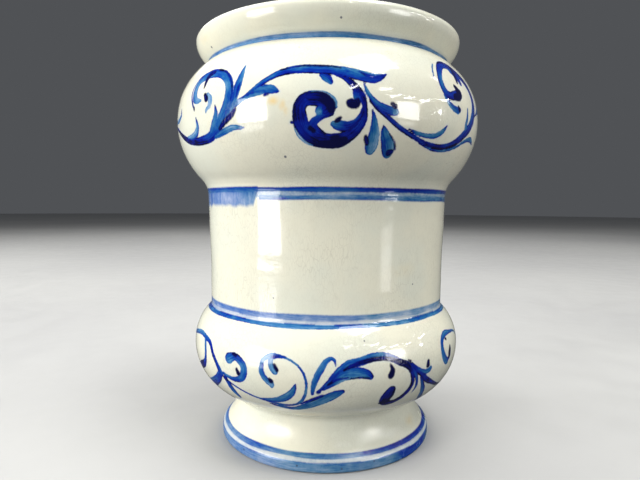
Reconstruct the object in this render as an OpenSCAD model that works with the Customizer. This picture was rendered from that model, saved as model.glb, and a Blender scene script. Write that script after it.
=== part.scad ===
// Apothecary jar (albarello): a wheel-thrown earthenware jar with two bulbs and a straight waist,
// coated in cream tin glaze and painted in cobalt blue. It is open at the top and has no lid.
// The origin is the middle of the circle that the jar stands on, +Z is up, the front faces -Y.

/* [Body] */
// Height of the jar from the table to the top of the lip
height = 200; // [197:0.5:206]
// Radius of the upper bulb at its widest ring
upper_r = 75.5; // [73:0.5:78]
// Height of the widest ring of the upper bulb
upper_z = 158.5; // [157:0.5:160]
// Radius of the upper bulb's outline above its widest ring
upper_arc_hi = 33; // [32.5:0.5:34]
// Radius of the upper bulb's outline below its widest ring
upper_arc_lo = 40.5; // [39:0.5:43]
// Radius of the lower bulb at its widest ring
lower_r = 68; // [66:0.5:70]
// Height of the widest ring of the lower bulb
lower_z = 49.5; // [48.5:0.5:51]
// Radius of the lower bulb's outline above its widest ring
lower_arc_hi = 25; // [24:0.5:28]
// Radius of the lower bulb's outline below its widest ring
lower_arc_lo = 27; // [26:0.5:28]

/* [Creases] */
// Height of the crease between the collar and the upper bulb
neck_z = 187; // [186:0.1:187.5]
// Height of the crease between the upper bulb and the waist
shoulder_z = 127.5; // [126:0.5:129]
// Height of the crease between the waist and the lower bulb
waist_z = 68; // [67:0.5:69]
// How far the waist's outline bows inwards at mid height
waist_bow = 0.3; // [0:0.1:1]
// Length that the soft glazed corner of each crease takes from each side
crease = 1.3; // [0.8:0.1:2]

/* [Collar] */
// Radius of the collar at its widest
collar_r = 66.2; // [65.5:0.1:68]
// Radius of the rounding on the outside of the lip
lip_arc = 2.6; // [2:0.1:3]
// Radius of the mouth at its narrowest, inside the glaze
mouth_r = 56; // [54:0.5:57]

/* [Foot] */
// Radius of the foot's narrowest ring, under the lower bulb
foot_neck_r = 47; // [46:0.1:48]
// Radius of the soft corner under the lower bulb
foot_neck_arc = 4.5; // [4:0.5:6]
// Radius of the flare from the foot's narrowest ring to its edge
flare_arc = 17.5; // [16.5:0.5:18]
// Angle that the flare turns through before the foot's edge starts
flare_turn = 50; // [47:1:52]
// Outer radius of the bare ring that the jar stands on
ring_out = 52.6; // [52:0.1:53]
// Inner radius of the bare ring that the jar stands on
ring_in = 46.4; // [45:0.1:47]
// Depth of the recess inside the foot ring
recess = 15; // [12:0.5:16]

/* [Wall] */
// Thickness of the wall, glaze included
wall = 4.8; // [4:0.1:5.5]
// Height of the floor inside the jar
floor_z = 24; // [23:0.5:25]
// Thickness of the glaze
glaze = 0.4; // [0.3:0.05:0.6]
// Thickness that a painted stroke stands proud of the glaze
paint = 0.15; // [0.1:0.01:0.25]

/* [Painted lines] */
// Lowest and highest edge of the line in the crease under the collar
neck_line_z = [185.2, 188.6]; // [184.6:0.1:189]
// Lowest and highest edge of the dark line under the shoulder
shoulder_line_z = [123.6, 125.8]; // [123:0.1:127]
// Lowest and highest edge of the pale line below it
shoulder_wash_z = [120.2, 122.6]; // [119:0.1:123]
// Lowest and highest edge of the pale line at the foot of the waist
waist_wash_z = [69.3, 72.2]; // [69:0.1:73]
// Lowest and highest edge of the dark line on top of the lower bulb
waist_line_z = [66.1, 67.8]; // [65:0.1:68]
// Lowest and highest edge of the line on the foot's flare
foot_line_z = [6.2, 8]; // [5.9:0.1:9]
// Lowest and highest edge of the wash on the foot's upright edge
foot_edge_z = [0.4, 5]; // [0.3:0.1:5.4]

/* [Scrollwork] */
// Number of times that the scroll pattern repeats round the jar
repeats = 4; // [4:1:4]
// Steps between two of a brush stroke's points
steps = 2; // [1:1:3]

/* [Hidden] */
$fn = 180;

cream = "#E9E5D3";
inner_cream = "#DEDAC6";
biscuit = "#CDAA85";
cobalt = "#15308F";
teal_wash = "#3F7DB4";
pale_wash = "#7E97CF";

facet = 1.5;              // longest straight step along an outline
lip_in = 60;              // radius where the lip starts to turn into the mouth
lip_drop = 6;             // how far below the top the mouth's wall starts
edge_arc = 3.6;           // rounding between the flare and the foot's upright edge
heel_arc = 1.3;           // rounding under the foot's upright edge
heel_start = -60;         // angle on that rounding where the glaze stops
inner_crease = 5;         // soft corners inside the jar
collar_lean = [1.1, 0.8]; // direction in which the collar leaves its crease
collar_bend = 6;          // height above the crease at which the collar turns upright
mouth_taper = 1.6;        // how much the mouth narrows below the lip
mouth_bend = 3;           // length over which the mouth's wall turns in
mouth_soft = 2;           // soft corner where the mouth opens into the upper bulb
inner_arc_lo = 26;        // radius of the lower bulb's inside, down to the floor
recess_r = 42.5;          // radius of the recess at its top
recess_arc = 2.5;         // rounding at the top of the recess
ring_bevel = 0.3;         // how far inside the bare ring the recess's glaze stops
ring_bare = 0.4;          // height above the table at which it stops
floor_rim = 2;            // height over the floor at which the foot's clay ends
sunk = 0.05;              // how far a stroke reaches into the glaze

// Bulbs as [radius, height, arc above, arc below], for the strokes painted on them
upper_bulb = [upper_r, upper_z, upper_arc_hi, upper_arc_lo];
lower_bulb = [lower_r, lower_z, lower_arc_hi, lower_arc_lo];

// ---- Outline helpers: points are [radius, height] ----

function arc_at(c, r, a) = c + r * [cos(a), sin(a)];

// Points of an arc round c from angle a to angle b
function arc(c, r, a, b) =
    let (n = max(2, ceil(abs(b - a) * PI / 180 * r / facet)))
    [for (i = [0 : n]) arc_at(c, r, a + (b - a) * i / n)];

// Points of a soft corner that leaves a, heads for b and arrives at c
function corner(a, b, c, n = 6) =
    [for (i = [1 : n - 1]) let (u = i / n) (1 - u) * (1 - u) * a + 2 * u * (1 - u) * b + u * u * c];

// Angle that a length takes on an arc
function turn(len, r) = len / r * 180 / PI;

// An outline moved by d to its left as it is walked
function shifted(p, d) =
    let (n = len(p) - 1)
    [for (i = [0 : n])
        let (t = p[min(i + 1, n)] - p[max(i - 1, 0)], u = t / norm(t))
        p[i] + d * [-u[1], u[0]]];

// Radius of an outline at height z
function radius_at(p, z) =
    [for (i = [0 : len(p) - 2])
        if (p[i][1] <= z && p[i + 1][1] > z)
            p[i][0] + (p[i + 1][0] - p[i][0]) * (z - p[i][1]) / (p[i + 1][1] - p[i][1])][0];

// The stretch of an outline between two heights
function stretch(p, lo, hi) = concat(
    [[radius_at(p, lo), lo]],
    [for (q = p) if (q[1] > lo + 0.05 && q[1] < hi - 0.05) q],
    [[radius_at(p, hi), hi]]);

function reversed(p) = [for (i = [len(p) - 1 : -1 : 0]) p[i]];

// An outline without its point on the axis
function off_axis(p) = [for (q = p) if (q[0] > glaze) q];

// ---- Outside of the jar, from the foot's lowest edge up to the top of the lip ----

upper_hi = [upper_r - upper_arc_hi, upper_z];
upper_lo = [upper_r - upper_arc_lo, upper_z];
lower_hi = [lower_r - lower_arc_hi, lower_z];
lower_lo = [lower_r - lower_arc_lo, lower_z];
neck_a = asin((neck_z - upper_z) / upper_arc_hi);
shoulder_a = asin((shoulder_z - upper_z) / upper_arc_lo);
waist_a = asin((waist_z - lower_z) / lower_arc_hi);
neck_p = arc_at(upper_hi, upper_arc_hi, neck_a);
shoulder_p = arc_at(upper_lo, upper_arc_lo, shoulder_a);
waist_p = arc_at(lower_hi, lower_arc_hi, waist_a);

// The foot's soft corner touches the lower bulb's arc from outside
foot_c = let (x = foot_neck_r + foot_neck_arc, r = lower_arc_lo + foot_neck_arc)
    [x, lower_z - sqrt(r * r - pow(x - lower_lo[0], 2))];
foot_a = atan2(lower_z - foot_c[1], lower_lo[0] - foot_c[0]);
flare_c = [foot_neck_r + flare_arc, foot_c[1]];
flare_end = arc_at(flare_c, flare_arc, 180 + flare_turn);
edge_c = flare_end - edge_arc * [cos(flare_turn), sin(flare_turn)];
heel_c = [edge_c[0] + edge_arc - heel_arc, heel_arc];

waist_mid = [(shoulder_p[0] + waist_p[0]) / 2 - waist_bow, (shoulder_z + waist_z) / 2];
waist_low = waist_p + crease * [0, 1];
waist_high = shoulder_p - crease * [0, 1];
collar_start = neck_p + collar_lean * crease;
collar_side = [collar_r, height - lip_arc];
lip_c = collar_side - [lip_arc, 0];

outside = concat(
    arc(heel_c, heel_arc, heel_start, 0),
    arc(edge_c, edge_arc, 0, flare_turn),
    [for (p = arc(flare_c, flare_arc, 180 + flare_turn, 180)) if (norm(p - flare_end) > 0.1) p],
    [for (a = [-15 : -15 : foot_a - 180]) arc_at(foot_c, foot_neck_arc, 180 + a)],
    arc(lower_lo, lower_arc_lo, foot_a - 180, -1),
    arc(lower_hi, lower_arc_hi, 0, waist_a - turn(crease, lower_arc_hi)),
    corner(arc_at(lower_hi, lower_arc_hi, waist_a - turn(crease, lower_arc_hi)), waist_p, waist_low),
    [waist_low],
    corner(waist_low, 2 * waist_mid - (waist_low + waist_high) / 2, waist_high, 24),
    [waist_high],
    corner(waist_high, shoulder_p,
        arc_at(upper_lo, upper_arc_lo, shoulder_a + turn(crease, upper_arc_lo))),
    arc(upper_lo, upper_arc_lo, shoulder_a + turn(crease, upper_arc_lo), -1),
    arc(upper_hi, upper_arc_hi, 0, neck_a - turn(crease, upper_arc_hi)),
    corner(arc_at(upper_hi, upper_arc_hi, neck_a - turn(crease, upper_arc_hi)), neck_p, collar_start),
    [collar_start],
    corner(collar_start, [collar_r, neck_z + collar_bend], collar_side, 10),
    arc(lip_c, lip_arc, 0, 90));

// ---- Inside of the jar, from the top of the lip down to the middle of the floor ----

in_upper_hi = upper_arc_hi - wall;
in_upper_lo = upper_arc_lo - wall;
in_lower_hi = lower_arc_hi - wall;
in_neck_a = acos((mouth_r - upper_hi[0]) / in_upper_hi);
in_shoulder_a = -acos((shoulder_p[0] - wall - upper_lo[0]) / in_upper_lo);
in_waist_a = acos((waist_p[0] - wall - lower_hi[0]) / in_lower_hi);
in_floor_c = [lower_r - wall - inner_arc_lo, floor_z + inner_arc_lo];
in_neck_p = arc_at(upper_hi, in_upper_hi, in_neck_a);
in_shoulder_p = arc_at(upper_lo, in_upper_lo, in_shoulder_a);
in_waist_p = arc_at(lower_hi, in_lower_hi, in_waist_a);
in_waist_low = in_waist_p + inner_crease * [0, 1];
in_waist_high = in_shoulder_p - inner_crease * [0, 1];
mouth_low = in_neck_p + mouth_soft * [0, 1];
mouth_high = [lip_in - mouth_taper, height - lip_drop];

inside = concat(
    [[lip_c[0], height]],
    corner([lip_c[0], height], [lip_in, height], mouth_high, 8),
    [mouth_high],
    corner(mouth_high, mouth_high - [1, mouth_bend], mouth_low, 6),
    [mouth_low],
    corner(mouth_low, in_neck_p,
        arc_at(upper_hi, in_upper_hi, in_neck_a - turn(mouth_soft, in_upper_hi))),
    arc(upper_hi, in_upper_hi, in_neck_a - turn(mouth_soft, in_upper_hi), 0),
    arc(upper_lo, in_upper_lo, -1, in_shoulder_a + turn(inner_crease, in_upper_lo)),
    corner(arc_at(upper_lo, in_upper_lo, in_shoulder_a + turn(inner_crease, in_upper_lo)),
        in_shoulder_p, in_waist_high),
    [in_waist_high, in_waist_low],
    corner(in_waist_low, in_waist_p,
        arc_at(lower_hi, in_lower_hi, in_waist_a - turn(inner_crease, in_lower_hi))),
    arc(lower_hi, in_lower_hi, in_waist_a - turn(inner_crease, in_lower_hi), 1),
    arc(in_floor_c, inner_arc_lo, 0, -90),
    [[0, floor_z]]);

// ---- Underside, from the middle of the recess out to the bare ring ----

under = concat(
    [[0, recess]],
    arc([recess_r - recess_arc, recess - recess_arc], recess_arc, 90, 10),
    [[ring_in - ring_bevel, ring_bare]]);

clay_out = shifted(outside, glaze);
clay_in = shifted(inside, glaze);
clay_under = shifted(under, glaze);

// ---- Clay, in five sections that meet at the creases, and its coats of glaze ----

clay_wall_in = reversed(off_axis(clay_in));
foot_top_z = floor_z + floor_rim;

// The part of an outline above or below a height
function above(p, z) = concat([[radius_at(p, z), z]], [for (q = p) if (q[1] > z + 0.05) q]);
function below(p, z) = concat([for (q = p) if (q[1] < z - 0.05) q], [[radius_at(p, z), z]]);

// A ring of the clay wall between two heights
module clay_ring(lo, hi) {
    rotate_extrude() polygon(concat(
        stretch(clay_out, lo, hi),
        reversed(stretch(clay_wall_in, lo, hi))));
}

module clay_foot() {
    color(biscuit) rotate_extrude() polygon(concat(
        [[0, recess + glaze]],
        off_axis(clay_under),
        [[ring_in, 0], [ring_out, 0]],
        below(clay_out, foot_top_z),
        reversed(below(clay_wall_in, foot_top_z)),
        [[0, floor_z - glaze]]));
}

module clay_lower_bulb() { color(biscuit) clay_ring(foot_top_z, waist_z); }
module clay_waist() { color(biscuit) clay_ring(waist_z, shoulder_z); }
module clay_upper_bulb() { color(biscuit) clay_ring(shoulder_z, neck_z); }

module clay_collar() {
    color(biscuit) rotate_extrude() polygon(concat(
        above(clay_out, neck_z),
        reversed(above(clay_wall_in, neck_z))));
}

module outer_glaze() {
    color(cream) rotate_extrude() polygon(concat(outside, reversed(clay_out)));
}

module inner_glaze() {
    color(inner_cream) rotate_extrude() polygon(concat(
        inside,
        [[0, floor_z - glaze]],
        reversed(off_axis(clay_in))));
}

module base_glaze() {
    color(inner_cream) rotate_extrude() polygon(concat(
        under,
        reversed(off_axis(clay_under)),
        [[0, recess + glaze]]));
}

// ---- Painted lines, turned on the wheel ----

module painted_ring(z) {
    skin = stretch(outside, z[0], z[1]);
    rotate_extrude() polygon(concat(shifted(skin, -paint), reversed(shifted(skin, sunk))));
}

module neck_line() { color(teal_wash) painted_ring(neck_line_z); }
module shoulder_line() { color(cobalt) painted_ring(shoulder_line_z); }
module shoulder_wash() { color(teal_wash) painted_ring(shoulder_wash_z); }
module waist_wash() { color(pale_wash) painted_ring(waist_wash_z); }
module waist_line() { color(teal_wash) painted_ring(waist_line_z); }
module foot_line() { color(teal_wash) painted_ring(foot_line_z); }
module foot_edge_wash() { color(pale_wash) painted_ring(foot_edge_z); }

// ---- Brush strokes: points are [angle to the right of the front, length above the bulb's
// widest ring, half width of the stroke], in degrees and mm along the surface ----

upper_scroll_strokes = [
    // arched stem with its long leaf tip
    [[-29, 0.5, 0.4], [-23, 4, 0.9], [-17, 9, 1.2], [-10, 11.6, 1.7], [-2, 11.4, 1.9],
        [6, 10.4, 2.1], [12, 8.8, 2.1], [17.8, 10.3, 0.2]],
    // big volute, turning clockwise
    [[4, 8.8, 0.8], [8, 5, 1.4], [10.6, -0.5, 1.2], [10.8, -6, 1.3], [8.5, -11.5, 1.9],
        [4, -15.4, 2.6], [-2, -15.6, 3], [-6.8, -11.5, 3], [-8, -5, 2.7], [-5.5, -0.2, 2.4],
        [-1, -0.8, 2.3], [0.2, -4, 1.8]],
    // long thin stem and the volute it ends in, turning the other way
    [[12.5, -0.5, 0.5], [18.5, -6.5, 0.9], [26, -12, 0.9], [34, -15.2, 1.1], [42, -15.4, 1.3],
        [49, -12.6, 1.7], [55, -7, 2.1], [58.5, 0, 2.1], [58.5, 6, 1.8], [56, 12, 1.9],
        [50.5, 16.6, 2.2], [44.5, 16, 1.9], [41, 11, 1.7], [41.5, 6.5, 1.5]]];

upper_leaf_strokes = [
    // leaves at the root of the arch
    [[-29.6, 1, 1.2], [-28.2, 6, 1.8], [-26.8, 15.5, 0.2]],
    [[-25, 2.4, 0.4], [-21, 4, 1.3], [-17.5, 4, 1.8], [-14.2, 3, 0.3]],
    [[-37, -12, 0.6], [-33, -10.4, 1.2], [-27, -9.9, 0.7]],
    // leaf right of the big volute
    [[11, 5.8, 0.2], [12.6, 1, 0.8], [15.5, -2, 1.2], [21, -4, 1.3]],
    // crescent under the stem's bow
    [[26, -10.3, 0.3], [33, -12.1, 1], [38.5, -10.8, 1.1], [41.8, -7, 0.2]]];

// Drops and dots as pairs of discs
upper_drops = [
    [[13.5, -5, 0.4], [14.2, -18, 2.5]],
    [[17.3, -10.5, 0.5], [20, -19.6, 2.6]],
    [[-0.8, 9.2, 1.2], [0.6, 6.8, 0.8]],
    [[19.1, -1.3, 0.6], [20, -2, 0.9]],
    [[47.5, 5.8, 1.9], [48.8, 6.4, 2.1]]];
upper_blobs = [
    [[6.6, -1.8, 1.6], [8.6, -0.4, 1.3]],
    [[50.5, 14, 1.4], [50, 11, 0.8]]];

lower_scroll_strokes = [
    // thick arched stem, the curl under it and its comma
    [[-12, -18, 1.2], [-6, -13, 1.7], [0, -6.5, 1], [5, 0.6, 0.9], [10, 4.4, 1], [16, 6.2, 1.5],
        [22, 5.8, 1.4], [28, 3, 1.4], [32, -1.5, 1.6], [34, -7.5, 1.3], [33, -13, 1.4],
        [29.5, -16.6, 1.5], [25.5, -17, 1.8]],
    // thin scroll
    [[-38, -9.6, 0.5], [-31, -14, 0.6], [-24, -16.2, 0.8], [-16, -16.8, 0.8], [-10, -14, 0.6],
        [-7.2, -8, 0.5], [-7, -2, 0.5], [-9.5, 3, 0.4], [-14, 6, 0.5], [-18.5, 6.4, 0.9]],
    // stem that leaves to the right, towards the next repeat
    [[34, -1.5, 0.9], [39, -5, 0.8], [44, -9, 1], [49, -11.6, 0.8], [54, -14, 0.6]]];

lower_leaf_strokes = [
    // curl with its dark dot
    [[-42, -7, 1], [-38, -7.2, 1], [-33.5, -6.6, 1.3], [-30.8, -3.5, 1.5], [-31.5, 1, 1.6],
        [-34.5, 3.2, 1.6], [-38, 2.5, 2.1]],
    // leaf spray in front
    [[-4.4, -9, 0.8], [-3, -1.5, 1.2], [0, 4.6, 1.1], [2.6, 6, 0.8], [3.8, 3.2, 0.2]],
    [[2, -3.5, 1.2], [7, 0, 1.6], [12, 0.5, 1.8], [16.3, -1.6, 0.9]],
    [[-6, -16.2, 0.6], [0, -11.5, 1.9], [5.5, -7.8, 0.9]],
    // crescent in the thin scroll
    [[-24, -14.6, 0.4], [-17, -13.4, 1.2], [-12.6, -10.4, 1.4], [-10.8, -5, 0.5]],
    // sprays on the right
    [[33.5, -0.8, 0.9], [38, -2.5, 0.7], [42, -3.2, 1.2]],
    [[38, -7, 0.4], [41, -11.5, 0.9], [44, -18, 0.9], [47, -21, 0.3]]];

lower_drops = [
    [[23.8, -14.6, 2.6], [23.6, -10.2, 2.6]],
    [[23.8, 2, 0.4], [24.2, -2.2, 1.3]],
    [[41.4, 0, 1], [41.6, -1.4, 1.1]],
    [[-33.4, -2.6, 1], [-32.8, -3, 1]],
    [[-19.6, -4.2, 1], [-20.4, -5, 1.2]]];
lower_blobs = [
    [[-18, 4.6, 0.9], [-17.6, 0.6, 1.1]],
    [[-41, -9, 1.2], [-38.6, -16.6, 1]]];

// Point on a bulb at angle phi and surface length t, at height h over the glaze
function on_bulb(b, phi, t, h) =
    let (r = t > 0 ? b[2] : b[3], a = turn(t, r), q = b[0] - r + (r + h) * cos(a))
    [q * sin(phi), -q * cos(phi), b[1] + (r + h) * sin(a)];

// Curve through four points, at u between the middle two
function through(a, b, c, d, u) =
    0.5 * (2 * b + (c - a) * u + (2 * a - 5 * b + 4 * c - d) * u * u
        + (3 * b - a - 3 * c + d) * u * u * u);

function smooth(p) = let (n = len(p) - 1) concat(
    [for (i = [0 : n - 1]) for (j = [0 : steps - 1])
        through(p[max(i - 1, 0)], p[i], p[i + 1], p[min(i + 2, n)], j / steps)],
    [p[n]]);

// A brush stroke: a thin ribbon that follows the bulb
module stroke(b, points) {
    p = smooth(points);
    n = len(p) - 1;
    k = b[0] * PI / 180;                    // mm of surface per degree
    rings = [for (i = [0 : n])
        let (d = p[min(i + 1, n)] - p[max(i - 1, 0)], t = [d[0] * k, d[1]] / norm([d[0] * k, d[1]]),
            w = max(p[i][2], 0.2), e = [-t[1] * w / k, t[0] * w])
        each [on_bulb(b, p[i][0] + e[0], p[i][1] + e[1], paint),
            on_bulb(b, p[i][0] - e[0], p[i][1] - e[1], paint),
            on_bulb(b, p[i][0] - e[0], p[i][1] - e[1], -sunk),
            on_bulb(b, p[i][0] + e[0], p[i][1] + e[1], -sunk)]];
    sides = [for (i = [0 : n - 1]) for (j = [0 : 3])
        each [[4 * i + j, 4 * i + 4 + j, 4 * i + 4 + (j + 1) % 4],
            [4 * i + j, 4 * i + 4 + (j + 1) % 4, 4 * i + (j + 1) % 4]]];
    polyhedron(rings, concat([[0, 1, 2], [0, 2, 3]], sides,
        [[4 * n + 2, 4 * n + 1, 4 * n], [4 * n + 3, 4 * n + 2, 4 * n]]), convexity = 8);
}

// A disc of half width w laid on the bulb
module dab(b, phi, t, w) {
    r = t > 0 ? b[2] : b[3];
    translate(on_bulb(b, phi, t, -sunk)) rotate([0, 0, phi]) rotate([90 - turn(t, r), 0, 0])
        cylinder(r = w, h = paint + sunk, $fn = 16);
}

// A drop or comma: two discs and all that lies between them
module drop(b, pair) {
    hull() for (p = pair) dab(b, p[0], p[1], p[2]);
}

module painted(b, strokes, drops) {
    for (i = [0 : repeats - 1]) rotate([0, 0, 360 / repeats * i]) {
        for (s = strokes) stroke(b, s);
        for (d = drops) drop(b, d);
    }
}

module upper_scrolls() { color(cobalt) painted(upper_bulb, upper_scroll_strokes, upper_blobs); }
module upper_leaves() { color(teal_wash) painted(upper_bulb, upper_leaf_strokes, upper_drops); }
module lower_scrolls() { color(cobalt) painted(lower_bulb, lower_scroll_strokes, lower_blobs); }
module lower_leaves() { color(teal_wash) painted(lower_bulb, lower_leaf_strokes, lower_drops); }

clay_foot();
clay_lower_bulb();
clay_waist();
clay_upper_bulb();
clay_collar();
outer_glaze();
inner_glaze();
base_glaze();
neck_line();
shoulder_line();
shoulder_wash();
waist_wash();
waist_line();
foot_line();
foot_edge_wash();
upper_scrolls();
upper_leaves();
lower_scrolls();
lower_leaves();
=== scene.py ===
import math

import bpy
import numpy as np
from mathutils import Matrix


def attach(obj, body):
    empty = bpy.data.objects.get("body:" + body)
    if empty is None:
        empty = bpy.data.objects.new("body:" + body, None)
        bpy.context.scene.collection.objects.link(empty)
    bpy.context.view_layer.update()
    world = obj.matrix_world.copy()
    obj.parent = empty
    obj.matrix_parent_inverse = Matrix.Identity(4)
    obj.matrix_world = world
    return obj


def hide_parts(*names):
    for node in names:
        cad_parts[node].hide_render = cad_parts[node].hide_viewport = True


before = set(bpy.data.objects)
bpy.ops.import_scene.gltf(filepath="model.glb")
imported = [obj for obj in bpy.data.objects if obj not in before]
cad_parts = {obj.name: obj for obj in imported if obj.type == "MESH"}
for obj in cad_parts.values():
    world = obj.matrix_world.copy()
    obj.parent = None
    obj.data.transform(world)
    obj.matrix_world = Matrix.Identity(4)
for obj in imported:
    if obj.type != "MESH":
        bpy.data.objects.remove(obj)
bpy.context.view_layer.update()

MM = 0.001

# ---------------- outline of the jar, in mm
UP_R, UP_Z, UP_HI, UP_LO = 75.5, 158.5, 33.0, 40.5      # upper bulb: radius, height, arc above, arc below
LO_R, LO_Z, LO_HI, LO_LO = 68.0, 49.5, 25.0, 27.0       # lower bulb
NECK_Z, SHOULDER_Z, WAIST_Z = 187.0, 127.5, 68.0        # heights of the creases
FOOT_TOP_Z = 22.2                                       # where the glaze of the foot meets the lower bulb's
CREASE, SHOULDER_CREASE = 1.3, 5.0                      # length over which the glaze rounds a crease
WAIST_BOW = 0.3
TOP = 200.0
COLLAR_R, LIP_ARC, COLLAR_BEND = 66.2, 2.6, 6.0
FOOT_NECK_R, FOOT_NECK_ARC = 47.0, 4.5
FLARE_ARC, FLARE_TURN = 17.5, 50.0
EDGE_ARC, HEEL_ARC, HEEL_START = 3.6, 1.3, -60.0
RECESS, RECESS_R, RECESS_ARC, RING_IN = 15.0, 42.5, 2.5, 46.4
GLAZE = 0.35

# Inside
WALL, FLOOR_Z, FLOOR_ARC = 4.8, 24.0, 26.0
MOUTH_R, THROAT_R, LIP_DEPTH = 56.0, 58.4, 6.0
INNER_SHOULDER_R, INNER_WAIST_R = 61.0 - WALL, 59.8 - WALL
INNER_CREASE = 5.0

# Radii at which the paint on the narrower parts is laid out
WAIST_R, COLLAR_MID_R, FOOT_R = 60.5, 63.5, 52.0


def at(c, r, deg):
    """The point of a circle at an angle."""
    a = math.radians(deg)
    return np.array([c[0] + r * math.cos(a), c[1] + r * math.sin(a)])


def arc(c, r, a, b, step=0.25):
    """Points about every step mm from angle a to angle b."""
    n = max(3, int(abs(math.radians(b - a)) * r / step))
    return [at(c, r, a + (b - a) * i / n) for i in range(n + 1)]


def corner(a, b, c, n=16):
    """A rounded corner from a to c that is pulled towards b."""
    a, b, c = map(np.asarray, (a, b, c))
    return [(1 - u) ** 2 * a + 2 * u * (1 - u) * b + u * u * c for u in np.linspace(0, 1, n + 1)]


def turn(length, r):
    """The angle that a length along a circle takes up."""
    return math.degrees(length / r)


def clean(points):
    """The same points without repeated ones."""
    kept = [np.asarray(points[0], float)]
    for q in points[1:]:
        if np.hypot(*(np.asarray(q, float) - kept[-1])) > 0.02:
            kept.append(np.asarray(q, float))
    return np.array(kept)


def outline():
    """Outside of the glaze from the foot's rounded edge to the top of the lip."""
    up_hi, up_lo = (UP_R - UP_HI, UP_Z), (UP_R - UP_LO, UP_Z)
    lo_hi, lo_lo = (LO_R - LO_HI, LO_Z), (LO_R - LO_LO, LO_Z)
    neck_a = math.degrees(math.asin((NECK_Z - UP_Z) / UP_HI))
    shoulder_a = math.degrees(math.asin((SHOULDER_Z - UP_Z) / UP_LO))
    waist_a = math.degrees(math.asin((WAIST_Z - LO_Z) / LO_HI))
    neck, shoulder, waist = at(up_hi, UP_HI, neck_a), at(up_lo, UP_LO, shoulder_a), at(lo_hi, LO_HI, waist_a)
    fx, fr = FOOT_NECK_R + FOOT_NECK_ARC, LO_LO + FOOT_NECK_ARC
    foot_c = (fx, LO_Z - math.sqrt(fr * fr - (fx - lo_lo[0]) ** 2))
    foot_a = math.degrees(math.atan2(LO_Z - foot_c[1], lo_lo[0] - foot_c[0]))
    flare_c = (FOOT_NECK_R + FLARE_ARC, foot_c[1])
    flare_end = at(flare_c, FLARE_ARC, 180 + FLARE_TURN)
    flare_a = math.radians(FLARE_TURN)
    edge_c = flare_end - EDGE_ARC * np.array([math.cos(flare_a), math.sin(flare_a)])
    mid = np.array([(shoulder[0] + waist[0]) / 2 - WAIST_BOW, (SHOULDER_Z + WAIST_Z) / 2])
    w_lo, w_hi = waist + [0, CREASE], shoulder - [0, SHOULDER_CREASE]
    start = neck + np.array([1.1, 0.8]) * CREASE
    side = np.array([COLLAR_R, TOP - LIP_ARC])
    below, above = waist_a - turn(CREASE, LO_HI), shoulder_a + turn(SHOULDER_CREASE, UP_LO)
    last = neck_a - turn(CREASE, UP_HI)
    p = []
    p += arc((edge_c[0] + EDGE_ARC - HEEL_ARC, HEEL_ARC), HEEL_ARC, HEEL_START, 0)
    p += arc(edge_c, EDGE_ARC, 0, FLARE_TURN)
    p += arc(flare_c, FLARE_ARC, 180 + FLARE_TURN, 180)
    p += arc(foot_c, FOOT_NECK_ARC, 180, foot_a)
    p += arc(lo_lo, LO_LO, foot_a - 180, 0)
    p += arc(lo_hi, LO_HI, 0, below)
    p += corner(at(lo_hi, LO_HI, below), waist, w_lo)
    p += corner(w_lo, 2 * mid - (w_lo + w_hi) / 2, w_hi, 120)
    p += corner(w_hi, shoulder, at(up_lo, UP_LO, above))
    p += arc(up_lo, UP_LO, above, 0)
    p += arc(up_hi, UP_HI, 0, last)
    p += corner(at(up_hi, UP_HI, last), neck, start)
    p += corner(start, (COLLAR_R, NECK_Z + COLLAR_BEND), side, 40)
    p += arc((COLLAR_R - LIP_ARC, TOP - LIP_ARC), LIP_ARC, 0, 90)
    return clean(p)


def inside():
    """Inside of the glaze from the top of the lip to the middle of the floor."""
    hi, lo, low = UP_HI - WALL, UP_LO - WALL, LO_HI - WALL
    up_hi, up_lo, lo_hi = (UP_R - UP_HI, UP_Z), (UP_R - UP_LO, UP_Z), (LO_R - LO_HI, LO_Z)
    neck_a = math.degrees(math.acos((MOUTH_R - up_hi[0]) / hi))
    shoulder_a = -math.degrees(math.acos((INNER_SHOULDER_R - up_lo[0]) / lo))
    waist_a = math.degrees(math.acos((INNER_WAIST_R - lo_hi[0]) / low))
    neck, shoulder, waist = at(up_hi, hi, neck_a), at(up_lo, lo, shoulder_a), at(lo_hi, low, waist_a)
    above, below = shoulder_a + turn(INNER_CREASE, lo), waist_a - turn(INNER_CREASE, low)
    floor_c = (LO_R - WALL - FLOOR_ARC, FLOOR_Z + FLOOR_ARC)
    mouth_lo, mouth_hi = neck + [0, 2], np.array([THROAT_R, TOP - LIP_DEPTH])
    p = corner((COLLAR_R - LIP_ARC, TOP), (60, TOP), mouth_hi)
    p += corner(mouth_hi, mouth_hi - [1, 3], mouth_lo)
    p += corner(mouth_lo, neck, at(up_hi, hi, neck_a - turn(2, hi)))
    p += arc(up_hi, hi, neck_a - turn(2, hi), 0)
    p += arc(up_lo, lo, 0, above)
    p += corner(at(up_lo, lo, above), shoulder, shoulder - [0, INNER_CREASE])
    p += corner(waist + [0, INNER_CREASE], waist, at(lo_hi, low, below))
    p += arc(lo_hi, low, below, 0)
    p += arc(floor_c, FLOOR_ARC, 0, -90)
    p += [np.array([r, FLOOR_Z]) for r in (*np.arange(36, 0, -2), .05)]
    return clean(p)


def underside():
    """The recess under the foot, from its middle to the bare ring."""
    p = [np.array([0.02, RECESS]), np.array([20.0, RECESS])]
    p += arc((RECESS_R - RECESS_ARC, RECESS - RECESS_ARC), RECESS_ARC, 90, 10)
    p += [np.array([RING_IN - .3, .4])]
    return clean(p)


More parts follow.
